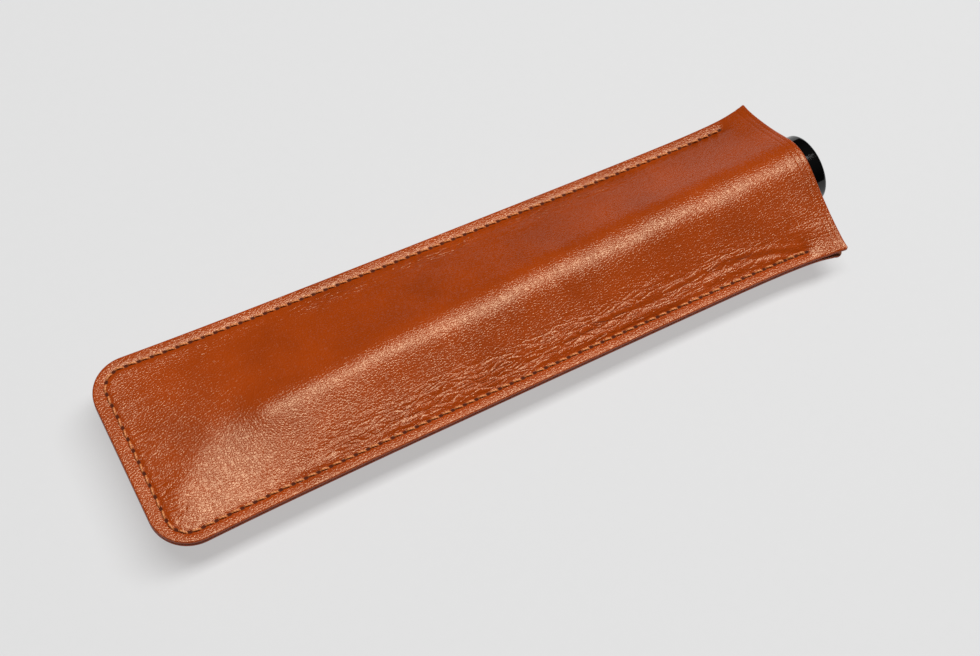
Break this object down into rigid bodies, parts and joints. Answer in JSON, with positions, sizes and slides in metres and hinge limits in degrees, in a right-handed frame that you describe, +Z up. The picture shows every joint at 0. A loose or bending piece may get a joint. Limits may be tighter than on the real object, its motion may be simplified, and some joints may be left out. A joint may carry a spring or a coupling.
{
  "type": "fountain pen case",
  "caption": "Slim sewn leather sleeve, open at one end, holding a capped fountain pen that slides out of the mouth.",
  "frame": {"origin": "under the middle of the whole object's box, on the surface that the sleeve lies on", "axes": "+X along the sleeve, out of its mouth; +Y across the sleeve; +Z up, out of the front panel"},
  "size_m": [0.18, 0.0478, 0.0203],
  "materials": {
    "leather": "smooth-grain cowhide, waxed, semi-gloss",
    "thread": "bonded sewing thread",
    "black_resin": "polished",
    "black_plastic": "moulded, satin",
    "gold_nib": "polished gold-coloured plating",
    "cartridge_plastic": "moulded, blue ink showing through"
  },
  "bodies": {
    "sleeve": {"front_panel": "leather", "back_panel": "leather", "needle_thread": "thread", "bobbin_thread": "thread"},
    "pen": {"barrel": "black_resin", "grip_section": "black_resin", "feed": "black_plastic", "nib": "gold_nib", "ink_cartridge": "cartridge_plastic"},
    "cap": {"cap": "black_resin", "inner_cap": "black_plastic"}
  },
  "joints": [
    {"name": "pen_slide", "type": "slide", "parent": "sleeve", "child": "pen", "axis": [0.9996, 0.0297, 0], "range_m": [0, 0.155]},
    {"name": "cap_slide", "type": "slide", "parent": "pen", "child": "cap", "axis": [0.9996, 0.0297, 0], "range_m": [0, 0.066]}
  ]
}
